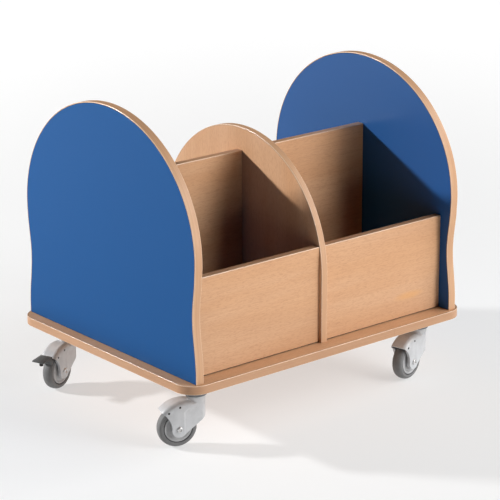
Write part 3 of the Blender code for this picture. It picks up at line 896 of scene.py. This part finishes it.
def build_casters():
    bright = cast_metal("bright_zinc", (0.66, 0.66, 0.66), 0.30, 0.85)
    dark = cast_metal("dark_zinc", (0.16, 0.165, 0.17), 0.40, 0.7)
    black = moulded("black_rubber", (0.012, 0.012, 0.012), 0.55)
    stand_meshes = {
        "fork": ("fork", fork_mesh(cast_metal("fork_paint", (0.55, 0.56, 0.575), 0.42, 0.05))),
        "axle_bolt": ("fork", bolt_mesh(bright)),
        "axle_nut": ("fork", nut_mesh(bright)),
        "hub": ("wheel", hub_mesh(moulded("hub_plastic", (0.42, 0.42, 0.425), 0.40))),
        "tyre": ("wheel", tyre_mesh(moulded("grey_rubber", (0.165, 0.165, 0.165), 0.62))),
        "brake_pin": ("fork", pin_mesh(cast_metal("blackened_steel", (0.02, 0.02, 0.02), 0.50, 0.3))),
        "brake_pedal": ("brake", pedal_mesh(moulded("pedal_plastic", (0.085, 0.088, 0.088), 0.46))),
        "brake_buffer": ("brake", buffer_mesh(black)),
        "top_plate": ("mounting", plate_mesh(dark)),
        "swivel_race": ("mounting", race_mesh(dark)),
        "kingpin": ("mounting", kingpin_mesh(bright)),
    }
    seal, screw, hole_shade = seal_mesh(black), screw_mesh(bright), hole_shade_mesh(black)
    joints = {joint["name"]: joint for joint in frame["joints"]}
    for corner in CORNERS:
        swivel = Vector(joints[corner + "_swivel"]["pos_m"])
        axle = Vector(joints[corner + "_wheel_spin"]["pos_m"])
        trail = axle - swivel
        mounting = Matrix.Translation((swivel.x, swivel.y, 0))
        stand = mounting @ Matrix.Rotation(math.atan2(trail.y, trail.x), 4, "Z")
        hub_place = stand @ Matrix.Translation((TRAIL, 0, WHEEL_RADIUS))
        pivot = stand @ Matrix.Translation((PIVOT_HOLE[0], 0, PIVOT_HOLE[1]))
        spots = {"hub": hub_place, "tyre": hub_place, "axle_bolt": hub_place, "axle_nut": hub_place,
                 "brake_pin": pivot, "top_plate": mounting, "swivel_race": mounting, "kingpin": mounting}
        for kind, (group, mesh) in stand_meshes.items():
            if f"{corner}_{kind}" in SLOTS:
                item = place(f"{corner}_{kind}_shape", mesh, spots.get(kind, stand))
                body = "root" if group == "mounting" else f"{corner}_{group}"
                stand_for(item, f"{corner}_{kind}", body)
        ring = place(f"{corner}_seal_ring", seal, hub_place)
        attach(ring, corner + "_wheel")
        # Holes that no pin fills get the black discs, as painted shade.
        open_holes = {"rear": REAR_HOLE}
        if f"{corner}_brake_pin" not in SLOTS:
            open_holes["front"] = PIVOT_HOLE
        for hole, (u, v) in open_holes.items():
            dots = place(f"{corner}_{hole}_hole_shade_discs", hole_shade, stand @ Matrix.Translation((u, 0, v)))
            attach(dots, corner + "_fork")
        for index, (sx, sy) in enumerate(((1, 1), (-1, 1), (-1, -1), (1, -1))):
            spot = mounting @ Matrix.Translation((sx * PLATE_SCREW_OFFSET, sy * PLATE_SCREW_OFFSET, 0))
            head = place(f"{corner}_plate_screw_{index + 1}", screw, spot)
            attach(head, "root")


# ---------------------------------------------------------------- stage

def stage_piece(name, bm, material):
    piece = place(name, finish_mesh(name, bm, material))
    return piece


def build_stage():
    """A pale floor that glows a little more away from the cart, and a far wall that lights nothing."""
    half = FLOOR_HALF
    bm = bmesh.new()
    corners = ((-half, -half), (half, -half), (half, half), (-half, half))
    bm.faces.new([bm.verts.new((x, y, FLOOR_LEVEL)) for x, y in corners])
    material, tree, shader = new_material("studio_floor", 0.9, specular=0.1)
    shader.inputs["Base Color"].default_value = colour(0.36, 0.36, 0.36)
    shader.inputs["Emission Color"].default_value = WHITE
    away = node(tree, "VectorMath", {0: node(tree, "TexCoord").outputs["Object"]}, operation="LENGTH")
    glow = scaled(tree, ramp(tree, away.outputs["Value"], 0.9, 4.5), 0.34, 0.54)
    tree.links.new(glow, shader.inputs["Emission Strength"])
    stage_piece("floor", bm, material)

    sides = 96
    bm = bmesh.new()
    ring = arc((0, 0), WALL_RADIUS, 0, 360 - 360 / sides, sides - 1)
    low = [bm.verts.new((x, y, FLOOR_LEVEL)) for x, y in ring]
    high = [bm.verts.new((x, y, WALL_HEIGHT)) for x, y in ring]
    for i in range(sides):
        j = (i + 1) % sides
        bm.faces.new((low[i], low[j], high[j], high[i]))
    material, _, shader = new_material("studio_wall", 0.9, specular=0.0)
    shader.inputs["Base Color"].default_value = colour(0.0, 0.0, 0.0)
    shader.inputs["Emission Color"].default_value = WHITE
    shader.inputs["Emission Strength"].default_value = 0.88
    wall = stage_piece("wall", bm, material)
    wall.visible_diffuse = wall.visible_glossy = wall.visible_shadow = False


def softbox(name, azimuth, elevation, distance, width, height, share):
    """An area light that points at the cart; share is the light it gives a facing white surface."""
    lamp = bpy.data.lights.new(name, "AREA")
    lamp.shape = "RECTANGLE"
    lamp.size = width
    lamp.size_y = height
    lamp.energy = share * math.pi ** 2 * distance ** 2
    a, e = math.radians(azimuth), math.radians(elevation)
    towards = Vector((math.sin(a) * math.cos(e), -math.cos(a) * math.cos(e), math.sin(e)))
    item = place(name, lamp)
    item.location = Vector((0, 0, 0.35)) + towards * distance
    item.rotation_euler = towards.to_track_quat("Z", "Y").to_euler()


def build_lights():
    for light in LIGHTS:
        softbox(*light)
    world = bpy.data.worlds.new("studio")
    world.use_nodes = True
    world.node_tree.nodes["Background"].inputs["Color"].default_value = WHITE
    world.node_tree.nodes["Background"].inputs["Strength"].default_value = 0.01
    bpy.context.scene.world = world
    bpy.context.scene.view_settings.view_transform = "Standard"


def build_camera():
    azimuth, pitch, roll = (math.radians(a) for a in (CAMERA_AZIMUTH, CAMERA_PITCH, CAMERA_ROLL))
    back = Vector((-math.sin(azimuth) * math.cos(pitch), -math.cos(azimuth) * math.cos(pitch),
                   math.sin(pitch)))
    level = Vector((0, 0, 1)).cross(back).normalized()
    upward = back.cross(level)
    right = level * math.cos(roll) + upward * math.sin(roll)
    top = upward * math.cos(roll) - level * math.sin(roll)
    spot = level * AIM_ACROSS + Vector((0, 0, AIM_HEIGHT)) + back * CAMERA_DISTANCE
    camera = place("camera", bpy.data.cameras.new("camera"))
    camera.data.sensor_width = 36.0
    camera.data.lens = CAMERA_LENS
    camera.matrix_world = Matrix.Translation(spot) @ Matrix((right, top, back)).transposed().to_4x4()
    bpy.context.scene.camera = camera


build_boards()
build_casters()
build_stage()
build_lights()
build_camera()
